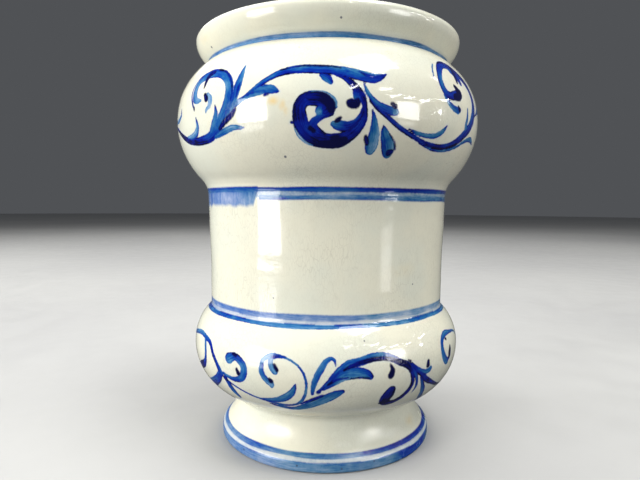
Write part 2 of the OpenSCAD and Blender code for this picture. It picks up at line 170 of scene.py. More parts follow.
class Curve:
    """An outline measured along its length."""

    def __init__(self, pts):
        self.p = pts
        self.s = np.concatenate([[0], np.cumsum(np.hypot(*np.diff(pts, axis=0).T))])
        t = np.gradient(pts, self.s, axis=0)
        t /= np.linalg.norm(t, axis=1)[:, None]
        self.n = np.stack([t[:, 1], -t[:, 0]], 1)

    def at(self, s):
        return np.stack([np.interp(s, self.s, self.p[:, i]) for i in (0, 1)], 1)

    def normal(self, s):
        n = np.stack([np.interp(s, self.s, self.n[:, i]) for i in (0, 1)], 1)
        return n / np.linalg.norm(n, axis=1)[:, None]

    def s_at_z(self, z):
        i = np.searchsorted(self.p[:, 1], z)
        return float(np.interp(z, self.p[i - 1:i + 1, 1], self.s[i - 1:i + 1]))


OUT, IN, UNDER = Curve(outline()), Curve(inside()), Curve(underside())
# Lengths along the outline, from the foot's edge
S_FOOT, S_LOW, S_WAIST = map(OUT.s_at_z, (FOOT_TOP_Z, LO_Z, WAIST_Z))
S_SHOULDER, S_UP, S_NECK, S_TOP = *map(OUT.s_at_z, (SHOULDER_Z, UP_Z, NECK_Z)), OUT.s[-1]


def waves(seed, terms, lo, hi):
    """A smooth closed function of the angle (degrees), between about -1 and 1."""
    rng = np.random.default_rng(seed)
    k = rng.integers(lo, hi, terms)
    a = rng.uniform(0.4, 1, terms)
    ph = rng.uniform(0, 2 * math.pi, terms)
    a /= a.sum()

    def f(phi):
        phi = np.radians(np.asarray(phi, float))
        return sum(ai * np.sin(ki * phi + pi) for ai, ki, pi in zip(a, k, ph)) * 1.6

    return f


def thrown(phi, s):
    """How far the hand-thrown wall stands off its true outline, in mm."""
    rng = np.random.default_rng(11)
    out = np.zeros(np.broadcast(phi, s).shape)
    a = np.radians(phi)
    # (how many, size in mm, limits of the turns round the jar, limits of the wave's length in mm)
    for terms, size, turns, lengths in ((9, 0.022, (0, 6), (22, 70)), (5, 0.005, (-1, 2), (5, 10))):
        for _ in range(terms):
            k, wl, ph = rng.integers(*turns), rng.uniform(*lengths), rng.uniform(0, 2 * math.pi)
            out += size * np.sin(k * a + 2 * math.pi * s / wl + ph)
    return out


# ---------------- brush strokes
# Each point is (angle right of the front in degrees, height along the bulb from its widest ring in mm,
# half width in mm, strength of the colour). A stroke's last value makes its left side darker.
UPPER_LEFT = [
    ([(-79, -1.2, .6, .8), (-72, -4.2, .8, .85), (-68, -6, .9, .9), (-64, -8.5, 1.2, .95),
      (-58, -11.8, 1.5, .95), (-52, -13.2, 1.7, .85), (-46, -13.2, 1.9, .8), (-41, -12, 2.1, .74),
      (-37, -8.5, 2.3, .64), (-34, -4, 2.3, .64), (-32, 1, 2.2, .58), (-31.5, 6, 2.2, .54),
      (-33, 10.5, 2.1, .56), (-36.5, 13.5, 2, .66), (-41, 14.7, 2.2, .64), (-44.5, 14.2, 2, .58),
      (-48, 12.2, 1.6, .5), (-49.5, 9, 1.9, .38), (-49.2, 5.4, 1.9, .36), (-47.6, 3.7, 1.4, .36),
      (-45, 3.4, .5, .4)], -.12),
    ([(-44.5, 16.2, .3, .7), (-48.4, 14.6, .35, .6), (-51, 11.3, .4, .55), (-52, 8, .45, .55),
      (-51.1, 4, .5, .62), (-49.5, .8, .6, .8)], 0),
    ([(-37.5, .2, .3, .85), (-37.2, -3, 1.1, .6), (-38.6, -7, 1.4, .52), (-40.6, -10.6, 1.2, .55)], .1),
    ([(-48.4, -3.4, .4, .75), (-47.8, -7, 1.1, .5), (-49.6, -9.8, 1.5, .32), (-53, -10.8, 1.2, .3),
      (-57, -10.8, .7, .3)], .3),
    ([(-61.5, 2.6, .5, .8), (-62, 0, .9, .4), (-65.5, -1.6, 1, .33), (-71, -1.4, .9, .3),
      (-76, -.6, .7, .3)], .2),
    ([(-35, -8, 1.2, .66), (-33, -5.4, 1.6, .62), (-30.8, -1.8, 1.6, .6), (-29.3, 1.5, 1.4, .62),
      (-28.4, 6, 1.8, .6), (-27.6, 10.5, 1.4, .58), (-26.8, 16, .2, .62)], .15),
    ([(-31, -1.8, .8, .68), (-29, -.6, 1.1, .62), (-27, .8, 1, .5), (-24.5, 1.8, .8, .44),
      (-21.5, 2.6, .8, .44), (-19, 2.9, .5, .5)], .1),
    ([(-42, -12.6, .8, .6), (-38, -12, 1.2, .55), (-34, -10.6, 1.3, .45), (-30.5, -9.5, 1.2, .4),
      (-27.2, -9.8, .7, .4)], -.1),
    ([(-41.4, 5, 1.2, .26), (-40, 3, 1.5, .24), (-40.4, .4, 1.1, .24), (-42, -1, .6, .24),
      (-42.1, -2.2, .35, .3)], 0),
]
UPPER_LEFT_DARK = [
    ([(-40.5, 15.2, .9, .93), (-43, 14, 1.4, .95), (-43.7, 11.4, 1.1, .95), (-44.1, 8.8, .6, .92)], 0),
    ([(-42.9, 5.3, 1.1, 1), (-42.1, 3.6, 1.5, 1)], 0),
    ([(-49.3, 1, .55, .92), (-49.2, .2, .65, .95)], 0),
    ([(-36.2, -9.4, .9, .92), (-33.6, -7, 1.2, .95), (-31, -4.9, 1.3, .97), (-29.4, -3, .9, .96),
      (-28.9, -1.9, .4, .92)], 0),
    ([(-57, -12.4, .6, .95), (-51, -14, .9, .92), (-45, -14.2, .7, .88), (-40, -12.8, .5, .85)], 0),
    ([(-28.6, 2.5, .5, .85), (-28, 5.5, .7, .85), (-27.5, 8, .3, .8)], 0),
    ([(-26.9, -9.9, .45, .7), (-26.6, -9.8, .45, .75)], 0),
    ([(-30.8, 1, .35, .85), (-30.4, 5, .45, .88), (-31.4, 9.6, .5, .88), (-34.2, 13.8, .6, .9),
      (-38, 15.9, .6, .9)], 0),
]
UPPER_MIDDLE = [
    ([(-29, .3, .3, .85), (-26, 1.8, .5, .8), (-23, 4, .9, .62), (-20, 6.7, 1.1, .58), (-17, 8.9, 1.2, .62),
      (-14, 10.5, 1.5, .7), (-10, 11.6, 1.8, .68), (-6, 11.8, 2, .64), (-2, 11.5, 1.9, .66),
      (2, 11.2, 2, .72), (6, 10.4, 2.2, .62), (10, 9.2, 2.3, .64), (13.5, 8.4, 2.1, .76),
      (16, 9.1, 1.3, .82), (18, 10.5, .2, .9)], -.22),
    ([(-25, 2, .4, .8), (-22, 4, 1, .55), (-19, 4.3, 1.6, .5), (-16.5, 4, 1.7, .58),
      (-14.3, 3, .4, .8)], -.15),
    ([(-1.6, 9.2, 1.1, .8), (-.2, 8, 1.7, .75), (1, 6.2, 1, .82)], .2),
    ([(-4.4, 1.7, 1.3, .3), (-1, 1.5, 1.3, .28), (1.7, -.6, 1.2, .3), (2.6, -3, .6, .4)], 0),
    ([(-9.3, -11, .8, .34), (-8.3, -13.6, 1, .28), (-6.6, -15.8, 1, .28), (-4.6, -17.2, .8, .34)], 0),
    ([(2, 10, .9, .9), (5, 8.2, 1.1, .93), (7, 6, 1.4, .93), (8.8, 3.5, 1.5, .93), (10.3, .5, 1.4, .92),
      (11, -3, 1, .9), (11, -6.5, 1.3, .86), (9.8, -10, 1.7, .86), (7.5, -13, 2.2, .95), (4, -15.6, 2.9, 1),
      (0, -16, 3, 1), (-4, -14.7, 3.2, .95), (-6.9, -11.3, 3.1, .9), (-8, -7, 2.9, .88), (-8, -3, 2.5, .88),
      (-6.4, -.4, 2.6, .9), (-3.5, 0, 2.9, .95), (-.6, -1, 2.9, 1), (.5, -3.2, 2.7, .98),
      (-.6, -5.2, 1.7, .9)], .06),
    ([(1, -5.2, 1.5, .92), (-1.6, -6.7, 1.3, .84), (-3.8, -8.6, 1.6, .82), (-4.2, -10.6, 2, .86),
      (-3.2, -12.4, 2.1, .88), (-1, -14.2, 1.6, .95)], .1),
    ([(-2, -3.2, 1.2, .8), (-2.4, -4.8, 1.4, .5), (-1.9, -6, 1.2, .66)], 0),
    ([(10.6, -2.5, .4, .85), (9.9, -6, .9, .82), (8.4, -8.8, 1.4, .84), (6.3, -10.2, 1.9, .8),
      (4.4, -10.2, 2, .64), (3, -9.9, 1.8, .5), (1.9, -9.5, 1.2, .46)], .2),
    ([(7.9, 4.6, .8, .92), (8.3, 2.8, 1.3, .84), (8.7, .9, 1.6, .68), (8.9, -.6, 1.2, .9)], 0),
    ([(-8.8, -9, .5, .85), (-10.6, -8.7, .6, .85)], 0),
]
UPPER_MIDDLE_DARK = [
    ([(-18.7, 2.1, .7, .9), (-17.7, 2.3, .6, .9)], 0),
    ([(8.7, -.6, 1.1, 1), (8.3, -1.8, 1.8, 1.02), (7.2, -1.8, 2, 1.02), (6.5, -1.5, 1.5, 1)], 0),
    ([(4.1, -6.9, .4, 1), (3.3, -7.8, 1, 1), (2.6, -8.4, .8, .95)], 0),
    ([(5.4, -15.4, 1.4, 1.1), (2, -16.8, 1.6, 1.14), (-2, -17, 1.1, 1.08)], 0),
    ([(-5, .8, 1.6, .92), (-2.8, .9, 1.9, 1), (-.7, -.1, 2.1, 1.12), (.9, -2.1, 2, 1.12),
      (1.1, -4.2, 1.5, 1)], 0),
    ([(-8.8, -9.6, 1.2, .9), (-7.6, -12.3, 1.5, .93), (-5.7, -15, 1.5, .96), (-3.4, -16.5, 1.5, 1)], 0),
    ([(-5, -11, 1, 1.08), (-4, -12, 1, 1.04)], 0),
    ([(-14, 11.8, .45, .9), (-8, 13.2, .5, .88), (0, 13, .5, .92), (4, 12.3, .4, .85)], 0),
    ([(9.5, 10.8, .4, .8), (14, 8.6, .9, .85), (17, 9.8, .4, .9)], 0),
    ([(-9.6, -5, .4, 1), (-9.6, -10, .5, 1.02), (-6.5, -15, .5, 1.02)], 0),
]
UPPER_RIGHT = [
    ([(10.7, 6.3, .25, .55), (11.5, 3.5, .7, .55), (13, .5, 1, .58), (15, -1.7, 1.3, .62),
      (17.5, -3.2, 1.6, .6), (19.8, -3.9, 1.7, .52), (20.6, -4.1, 1.5, .5)], -.1),
    ([(12.6, -.6, .5, .85), (15, -3.2, .9, .85), (18.5, -6.5, .95, .85), (22, -9.5, 1, .82),
      (26, -12, 1, .84), (30, -14, .95, .86), (34, -15.5, 1.05, .86), (38, -16.2, 1.2, .88),
      (42, -16, 1.3, .9), (46, -15, 1.5, .9), (50, -12.5, 1.8, .88), (54, -9, 2.1, .82),
      (57.8, -5, 2.4, .78), (60.2, 0, 2.6, .76), (61.2, 5, 2.2, .78), (60.6, 9.5, 2, .82),
      (58.5, 13.6, 2.1, .84), (55.2, 17.1, 2.3, .84), (51, 19.8, 2.3, .84), (46.8, 21.1, 2.2, .82),
      (43.3, 20.3, 2, .78), (41, 17.6, 1.8, .72), (39.6, 14, 1.6, .68), (39.3, 10.5, 1.6, .66),
      (40.5, 7, 1.6, .72), (43, 5.5, 1.7, .85), (46.5, 6.3, 2.2, .95), (49, 7.4, 2.4, 1)], -.12),
    ([(40, 5, .6, .62), (42, 2.5, 1.1, .6), (44.5, .6, 1.3, .58), (47, 0, 1.5, .62),
      (48.3, .3, 1.2, .66)], .15),
    ([(38.4, 19.5, .35, .42), (37, 16.5, .4, .42), (36.3, 12.5, .35, .42)], 0),
    ([(54.5, 2, .5, .58), (54.5, -2, 1, .55), (54, -5.5, 1.3, .5), (55, -8, 1.2, .55)], .1),
    ([(26, -10.2, .4, .85), (29, -11.4, .75, .6), (33, -12.2, .95, .5), (37, -11.8, 1.15, .48),
      (40, -9.8, 1.05, .52), (42, -6.8, .2, .7)], -.15),
    ([(31, -15.2, .6, .85), (36, -17.3, .55, .62), (40, -17.8, .65, .5), (45, -17.2, .65, .5),
      (50, -15.4, .65, .5), (54, -12.9, .75, .5), (58, -11, 1, .48), (62, -10.5, 1.2, .5),
      (66, -12, .3, .6)], -.15),
    ([(57.5, -6, 1, .8), (61, -2.6, .8, .8)], 0),
    ([(48.5, 18.8, 2.1, .66), (51.4, 16, 2.2, .72), (52.4, 13.2, 1.3, .78)], 0),
    ([(13.3, -3.8, .35, .7), (13.9, -6.5, .9, .64), (14.2, -9.5, 1.5, .58), (14.4, -13, 2.2, .52),
      (14, -17, 2.8, .46), (13.8, -19.4, 2, .42)], -.2),
    ([(17.1, -9.4, .2, .8), (17.7, -12, 1.6, .62), (18.9, -15.5, 2.6, .62), (19.8, -18.5, 3, .6),
      (20, -20.4, 2.2, .52)], -.25),
]
UPPER_RIGHT_DARK = [
    ([(19.5, -1.2, .9, 1), (20.5, -2, 1.1, 1)], 0),
    ([(50.3, 18.6, 1.6, .93), (49.9, 15.6, 1.5, .95), (49.6, 12.8, .8, .95)], 0),
    ([(46, 5.4, 1.6, 1.04), (48.4, 6.2, 2, 1.1), (48.2, 8.6, 1.7, 1.1), (46.6, 10.4, .9, 1)], 0),
    ([(47.6, 1.6, .7, 1), (48.4, .2, .95, .98)], 0),
    ([(11.8, -13.8, .7, .97), (12.1, -15.1, 1.1, .98), (12.5, -16.6, 1, .94)], 0),
    ([(20.4, -20.3, 1.5, .97), (21.2, -19.6, 1.1, .93)], 0),
    ([(19.3, -12.4, .35, .85), (21.6, -15.8, .5, .88), (22.3, -18.6, .5, .9)], 0),
    ([(34, -16, .4, .98), (42, -16.9, .5, .98), (50, -13.8, .5, .95)], 0),
]
LOWER_SCROLLS = [
    ([(-78, 4.4, .9, .5), (-68, 6.8, 1.1, .5), (-64, 7.6, 1.1, .52), (-60, 7.7, 1.1, .58),
      (-56, 7, 1.1, .66), (-53, 6.2, 1.1, .72), (-51, 5, 1.1, .75), (-49.5, 3, 1.1, .78),
      (-48, .5, 1.1, .8), (-46.5, -1.5, 1.2, .8), (-45, -4, 1.5, .8), (-44, -6.5, 1.8, .82)], -.15),
    ([(-57, 7.2, .8, .62), (-55.5, 4, 1.1, .6), (-54.8, .5, 1.1, .62), (-55.3, -3, 1.3, .7),
      (-57.5, -5.8, 1.7, .82), (-61, -7.5, 2, .88), (-66, -10, 1.6, .9)], .1),
    ([(-44.5, -7, 1.8, .8), (-47, -10, 2, .78), (-51, -13, 2.3, .74), (-56, -16, 2.5, .74),
      (-62, -18.4, 2.4, .78), (-68, -20.2, 1.9, .82), (-74, -20.6, 1.6, .88), (-79, -18.8, 1.8, .95),
      (-81.6, -15.4, 2.5, 1.04), (-81.4, -12, 2.5, 1.04), (-80, -9.8, 1.7, .98)], .15),
    ([(-42, -6, .8, .75), (-40, -6.8, .9, .62), (-36, -7.3, 1.2, .58), (-32.6, -6, 1.6, .6),
      (-30.9, -3, 1.8, .58), (-31, 0, 1.7, .58), (-33, 2.2, 1.7, .62), (-35.5, 3.2, 1.7, .7),
      (-38.2, 1.9, 2.5, .56)], -.15),
    ([(-41.5, -8, 1.2, .85), (-40.5, -11, 1.6, .7), (-39.5, -14.5, 1.9, .6), (-38.3, -17.5, 1.4, .58),
      (-37.8, -19.5, .3, .6)], .15),
    ([(-40, -9.5, .5, .72), (-36.5, -11.3, .5, .62), (-33, -12.8, .5, .55), (-29, -14.3, .55, .55),
      (-25, -15.3, .6, .58), (-22, -16, .7, .6), (-18, -16.8, .75, .6), (-14, -16.8, .65, .6),
      (-10.5, -15.3, .65, .58), (-8, -12, .7, .58), (-6.8, -8, .6, .5), (-6.6, -4, .55, .46),
      (-7.5, 0, .5, .44), (-9.5, 3, .48, .44), (-12.5, 5.2, .45, .48), (-15.5, 6.2, .65, .6),
      (-18, 6.2, 1, .6), (-19.5, 5.2, 1.2, .5), (-19.6, 3, 1.2, .4), (-18.9, 1, 1.3, .34),
      (-17.8, -.4, 1.2, .3)], 0),
    ([(-23, 2.4, .9, .7), (-23.2, -.5, 1.2, .62), (-22.4, -2.8, 1.3, .58), (-21, -4.6, 1.4, .45),
      (-19.7, -5.6, 1.5, .3), (-19.4, -7, .8, .25)], .15),
    ([(-23.2, 2, .9, .5), (-22.8, 3.8, 1, .42), (-21.4, 5.3, 1, .4), (-19.7, 6.4, 1, .45),
      (-18.2, 6.7, .8, .6)], 0),
    ([(-26, -15, .3, .6), (-22, -14.8, 1, .52), (-18, -14, 1.5, .48), (-15, -12.3, 1.8, .48),
      (-12.5, -9.8, 1.6, .5), (-11, -7, 1, .55), (-10.5, -5, .4, .6)], -.15),
    ([(-2.2, -7.9, .9, .86), (-1.4, -6.6, .6, .84), (0, -5, .8, .76), (1.5, -3.2, 1.1, .72),
      (3.4, -.6, 1.4, .68), (5.5, 1.8, 1.6, .6), (8, 3.7, 1.8, .56), (10, 4.3, 1.8, .58), (13, 5, 1.8, .56),
      (16, 6, 1.8, .52), (19, 6.3, 1.8, .52), (22, 6, 1.7, .58), (25, 4.8, 1.5, .66), (28, 2.8, 1.5, .82),
      (31, 1.2, 1.6, .82), (33, -1.5, 1.3, .8), (34, -5, 1.1, .8), (34.2, -8.5, 1.2, .82),
      (33, -12, 1.3, .86), (30.5, -15.2, 1.4, .9), (27.5, -17, 1.5, .95), (24.4, -16.7, 2, 1.02),
      (23.4, -14.3, 2.9, 1.08), (24.3, -11.4, 2.9, 1.05), (25, -9.4, 2.2, 1)], -.1),
    ([(32, 1, 1.2, .75), (35, -3.5, 1, .66), (36.5, -7, .8, .6), (36.8, -10.5, .7, .6),
      (35.8, -13.6, .25, .6)], 0),
    ([(33, 1, 1, .85), (36, -2, 1.2, .85), (38.5, -4.5, 1.1, .83), (41, -7, 1.3, .85), (44, -9.3, 1.4, .86),
      (47, -11, 1.1, .84), (50, -12.8, .95, .84), (54, -14.8, .8, .82), (60, -16.6, .8, .78),
      (66, -16.8, .8, .7), (71, -14.2, .8, .64), (74.4, -9, .7, .6), (75.6, -3, .6, .56),
      (74.6, 2.5, .55, .54), (71.6, 6.6, .5, .54), (67.6, 8.4, .55, .58), (63, 9.2, .8, .58)], -.1),
    ([(35, -.8, .9, .78), (38.4, -2.9, .9, .6), (40.5, -3.8, 1.1, .5), (42.4, -3.7, 1.3, .48),
      (43.5, -2.8, 1, .48)], 0),
    ([(38.5, -6, .7, .78), (40.5, -10, 1.1, .62), (42.5, -14, 1.5, .58), (44, -18, 1.6, .56),
      (46.5, -22, 1.3, .58), (50, -26, .5, .6)], .15),
    ([(64, 9, .8, .58), (61.5, 9.4, .9, .58), (58.5, 9.7, 1.3, .58), (55.5, 9.3, 1.4, .62),
      (53, 7.5, 1.3, .66), (52, 4.5, 1.4, .64), (52.5, 1.5, 1.7, .6), (54, -1.2, 1.9, .56),
      (56, -3.1, 1.7, .56), (57.2, -3.9, 1, .6)], .1),
    ([(56.5, -3, 1.1, .7), (59, -1.6, 1.2, .8), (59.8, 1.4, 1.1, .85)], 0),
    ([(80.5, -5.7, .35, .7), (83, -3, .4, .68), (85, -.2, .8, .66), (87.5, 2, 1.3, .6),
      (90.5, 3.4, 1.4, .56), (95, 4.4, 1.2, .54), (102, 4.5, .9, .5)], -.1),
]
LOWER_SPRIG = [
    ([(-22, -17.5, .4, .62), (-17, -18.8, .9, .6), (-12, -18.9, 1.2, .58), (-7, -16.5, 1.9, .55),
      (-3, -13.5, 2.3, .55), (1, -11, 2.2, .55), (4, -9, 1.8, .58), (6.2, -7.8, .9, .62)], .1),
    ([(-4.5, -9, .7, .85), (-4, -5, 1.1, .62), (-3, -1.5, 1.3, .56), (-1.5, 2, 1.4, .52),
      (0, 4.8, 1.2, .54), (1.8, 6.3, .8, .6), (3.2, 5.5, .6, .66), (3.6, 3.3, .2, .7)], -.1),
    ([(-.5, -6.5, .8, .88), (3, -3.3, 1.7, .64), (6, -.8, 2.3, .5), (9, .1, 2.5, .46), (12, .2, 2.3, .5),
      (14.6, -.6, 2, .6), (16.1, -1.8, 1.3, .76)], .2),
]
LOWER_SPRIG_DARK = [
    ([(-9, -15, .6, .85), (-4, -11.7, .9, .86), (-1, -9.8, .7, .85)], 0),
    ([(-2.6, -8.3, .8, .98), (-1.6, -7.2, .6, .95)], 0),
    ([(1, -4.5, .5, .84), (4, -2.4, .6, .82), (8, -1.6, .4, .78)], 0),
    ([(9, -2, .4, .85), (13, -1.9, .5, .88), (15.8, -2.4, .4, .9)], 0),
]
LOWER_SCROLLS_DARK = [
    ([(-42.2, -8.2, 1, .93), (-41, -8.8, 1.1, .95)], 0),
    ([(-36.4, 4.1, .7, .95), (-34.8, 3.9, .8, .93)], 0),
    ([(-34.2, -2.2, .9, 1), (-33.6, -3.8, 1.2, 1)], 0),
    ([(-18.3, 2.8, .6, 1), (-17.6, 1.5, .9, 1), (-17, .4, .8, 1)], 0),
    ([(-18.8, 5.6, .7, .88), (-16.6, 6.2, .6, .85)], 0),
    ([(-20.1, -3.6, .7, 1), (-19.5, -4.6, 1.1, 1)], 0),
    ([(23.6, 2.8, .4, 1), (24.6, 0, 1.2, 1.04), (24, -2.2, 1.6, 1.06)], 0),
    ([(23.6, -15.4, 1.7, 1.05), (21.6, -16.3, .8, 1.02)], 0),
    ([(6.5, 1.6, .5, .85), (9.7, 3.4, .9, .9), (14.6, 4.9, 1, .93), (19, 5.4, 1, .93), (23, 5, .9, .92),
      (27, 3.4, 1.1, .95), (31, 1, 1.2, .95), (33, -1.6, .8, .92)], 0),
    ([(31.6, 3, .6, .92), (32.4, 2.5, .7, .92)], 0),
    ([(41.9, .7, .9, 1), (41.8, -1.2, 1.3, 1)], 0),
    ([(56, 7.4, .7, .95), (56.7, 7, .7, .95)], 0),
    ([(59.6, 3, .8, .95), (59.1, .8, 1.5, 1.02), (58.7, -1.1, 1.3, 1)], 0),
    ([(-63, -8.2, .8, .98), (-58.5, -5, .7, .95)], 0),
    ([(-50, -14.4, .5, .92), (-58, -18.6, .7, .93), (-66, -21.6, .6, .92)], 0),
]


def smooth_path(points, step, mm_per_deg):
    """Catmull-Rom curve through the points, sampled about every step mm."""
    p = np.array(points, float)
    q = np.vstack([2 * p[0] - p[1], p, 2 * p[-1] - p[-2]])
    out = []
    for i in range(len(p) - 1):
        a, b, c, d = q[i:i + 4]
        n = max(2, int(np.hypot((c[0] - b[0]) * mm_per_deg, c[1] - b[1]) / step))
        u = (np.arange(n) / n)[:, None]
        square, cube = 2 * a - 5 * b + 4 * c - d, 3 * b - a - 3 * c + d
        out.append(0.5 * (2 * b + (c - a) * u + square * u ** 2 + cube * u ** 3))
    out.append(p[-1:])
    out = np.vstack(out)
    out[:, 2] = np.maximum(out[:, 2], 0.15)
    return out


FAR = -5.0              # depth of ink where there is none nearby, in mm
REACH = 4.0             # how far round a stroke its distance is worked out, in mm
STROKE_OFFSET = 61.0    # shift in the brush hair pattern from one stroke to the next


class Field:
    """Ink on a grid of columns (angle) and rows (mm along the outline)."""

    def __init__(self, phi, t, radius):
        self.phi, self.t, self.r = phi, t, radius
        self.grids = {key: np.zeros((len(t), len(phi))) for key in ("ink", "tone", "across", "along")}
        self.grids["ink"] += FAR
        self.serial = 0

    def lay(self, where, ink, **values):
        """Takes over new ink where it is deeper than what is there."""
        better = ink > self.grids["ink"][where]
        for key, value in {"ink": ink, **values}.items():
            grid = self.grids[key]
            grid[where] = np.where(better, value, grid[where])

    def stroke(self, points, side=0.0, dphi=0.0, dt=0.0):
        k = self.r * math.pi / 180
        path = smooth_path(points, 0.3, k)
        path[:, 0] += dphi
        path[:, 1] += dt
        self.serial += 1
        n = len(self.phi)
        dcol = 360.0 / n
        tangent = np.gradient(path[:, :2] * [k, 1], axis=0)
        tangent /= np.maximum(np.linalg.norm(tangent, axis=1), 1e-6)[:, None]
        steps = np.hypot(*(np.diff(path[:, :2], axis=0) * [k, 1]).T)
        run = np.concatenate([[0], np.cumsum(steps)]) + self.serial * STROKE_OFFSET
        for (a, t, w, tone), (tx, tz), s in zip(path, tangent, run):
            m = w + REACH
            r0, r1 = np.searchsorted(self.t, [t - m, t + m])
            if r1 <= r0:
                continue
            c0 = int(math.floor((a - m / k - self.phi[0]) / dcol))
            c1 = int(math.ceil((a + m / k - self.phi[0]) / dcol)) + 1
            cols = np.arange(c0, c1)
            dx = (self.phi[0] + cols * dcol - a)[None, :] * k
            dz = (self.t[r0:r1] - t)[:, None]
            cross = dx * -tz + dz * tx
            self.lay(np.ix_(np.arange(r0, r1), cols % n), w - np.hypot(dx, dz), across=cross,
                     tone=tone + side * np.clip(cross / max(w, .4), -1, 1), along=s + dx * tx + dz * tz)

    def band(self, centre, half, tone, side=0.0, where=None, cap=None):
        """A line round the jar: centre, half and tone are functions of the angle."""
        c, h, v = (f(self.phi)[None, :] for f in (centre, half, tone))
        cross = self.t[:, None] - c
        ink = h - np.abs(cross)
        if cap is not None:
            ink = np.minimum(ink, cap)
        if where is not None:
            ink = np.where(where(self.phi)[None, :] > 0, ink, np.minimum(ink, FAR))
        self.serial += 1
        shade = v + side * np.clip(cross / np.maximum(h, .3), -1, 1)
        along = np.radians(self.phi)[None, :] * self.r + self.serial * STROKE_OFFSET
        self.lay(..., ink, tone=shade, across=cross, along=along)


def const(v):
    return lambda phi: np.full(np.shape(phi), float(v))


def mix_waves(base, amp, seed, terms=7, lo=1, hi=14):
    """A level that wavers round the jar."""
    f = waves(seed, terms, lo, hi)
    return lambda phi: base + amp * f(phi)


def by_angle(stops, amp, seed):
    """A level that changes round the jar and wavers: stops are (angle, level)."""
    angles, levels = zip(*stops)
    f = waves(seed, 7, 1, 14)
    return lambda phi: np.interp(phi, angles, levels, period=360) + amp * f(phi)


# ---------------- meshes
def even_rows(s0, s1, step):
    """Distances along the outline about step mm apart."""
    return np.linspace(s0, s1, max(2, int(round((s1 - s0) / step)) + 1))


def rows_between(s0, s1, fine, coarse, f0, f1):
    """Distances along the outline: fine steps between f0 and f1, coarse ones elsewhere."""
    f0, f1 = max(f0, s0), min(f1, s1)
    parts = [even_rows(a, b, d) for a, b, d in ((s0, f0, coarse), (f0, f1, fine), (f1, s1, coarse))
             if b - a > 1e-6]
    return np.unique(np.round(np.concatenate(parts), 6))


def under_rows(s0, s1, zone=7.0):
    """Distances for the hidden side of a shell, close together near the creases at both ends."""
    return np.concatenate([np.linspace(s0, s0 + zone, 5), np.linspace(s0 + zone, s1 - zone, 6)[1:-1],
                           np.linspace(s1 - zone, s1, 5)])[::-1]


def columns_phi(columns):
    """The angle of each column, in degrees."""
    return -180 + 360.0 * np.arange(columns) / columns


def lathe_piece(name, curve, s, columns, fields, wobble=True, inner_rows=0):
    """A closed ring of glaze: the outline between s[0] and s[-1] outside, and a shell under it."""
    si = np.linspace(s[-1], s[0], inner_rows) if inner_rows else under_rows(s[0], s[-1])
    under = curve.at(si) - GLAZE * curve.normal(si)
    section, section_s = np.vstack([curve.at(s), under]), np.concatenate([s, si])
    phi = columns_phi(columns)
    a = np.radians(phi)
    offset = thrown(phi[None, :], section_s[:, None]) if wobble else np.zeros((len(section_s), columns))
    normal = curve.normal(section_s)
    rad = section[:, :1] + offset * normal[:, :1]
    z = section[:, 1:] + offset * normal[:, 1:] * 0.5
    rad = np.maximum(rad, 0.02)
    co = np.stack([rad * np.sin(a), -rad * np.cos(a), z], -1).reshape(-1, 3) * MM
    nr = len(section)
    i, j = np.meshgrid(np.arange(nr), np.arange(columns), indexing="ij")
    row, next_row, j2 = i * columns, (i + 1) % nr * columns, (j + 1) % columns
    quads = np.stack([row + j, row + j2, next_row + j2, next_row + j], -1).reshape(-1, 4)
    me = bpy.data.meshes.new(name)
    me.from_pydata(co, [], quads, shade_flat=False)
    edges = np.empty(len(me.edges) * 2, int)
    me.edges.foreach_get("vertices", edges)
    edge_row = edges.reshape(-1, 2) // columns
    rims = [0, len(s) - 1, len(s), nr - 1]
    sharp = (edge_row[:, 0] == edge_row[:, 1]) & np.isin(edge_row[:, 0], rims)
    me.attributes.new("sharp_edge", "BOOLEAN", "EDGE").data.foreach_set("value", sharp)
    for key, values in fields.items():
        full = np.full((nr, columns), FAR if key.startswith("ink") else 0.0)
        full[:len(s)] = values
        me.attributes.new(key, "FLOAT", "POINT").data.foreach_set("value", full.ravel())
    ob = bpy.data.objects.new(name, me)
    bpy.context.scene.collection.objects.link(ob)
    return ob


def stain_field(phi, t, r, spots):
    """Soft round spots: (angle, height, half width, half height, strength)."""
    k = r * math.pi / 180
    out = np.zeros((len(t), len(phi)))
    for a, tc, w, h, v in spots:
        d = np.hypot((phi[None, :] - a) * k / w, (t[:, None] - tc) / h)
        out = np.maximum(out, v * np.clip(1.4 - d, 0, 1))
    return out


def painted_piece(name, s, t, radius, columns, paint, stains):
    """A ring of glaze whose colours paint(wash, dark) lays down in two layers."""
    phi = columns_phi(columns)
    wash, dark = Field(phi, t, radius), Field(phi, t, radius)
    paint(wash, dark)
    fields = {}
    for tag, layer in (("a", wash), ("b", dark)):
        fields |= {f"{key}_{tag}": grid for key, grid in layer.grids.items()}
    fields["stain"] = stain_field(phi, t, radius, stains)
    return lathe_piece(name, OUT, s, columns, fields)


def neck_line(field, crease):
    """The line under the collar, painted across the crease."""
    field.band(mix_waves(crease - .55, .2, 21), mix_waves(1.75, .3, 22),
               by_angle([(-60, .3), (0, .33), (30, .42), (60, .36), (180, .33)], .06, 23), -.1)


def waist_line(field, crease):
    """The line on top of the lower bulb and the film between it and the waist's own line."""
    rise = by_angle([(-60, .3), (-30, .1), (0, .1), (30, .5), (50, .8), (80, .5), (180, .2)], .12, 31)
    line_tone = [(-70, .6), (-35, .56), (-20, .46), (10, .46), (45, .54), (90, .5), (180, .5)]
    film_tone = [(-80, .3), (-60, .3), (-50, .04), (60, .04), (150, .15), (180, .1)]
    field.band(lambda phi: crease - 1.15 + rise(phi), mix_waves(1.15, .2, 32),
               by_angle(line_tone, .07, 33), .1)
    field.band(const(crease + .2), const(1.7), by_angle(film_tone, .03, 34), 0, cap=.2)


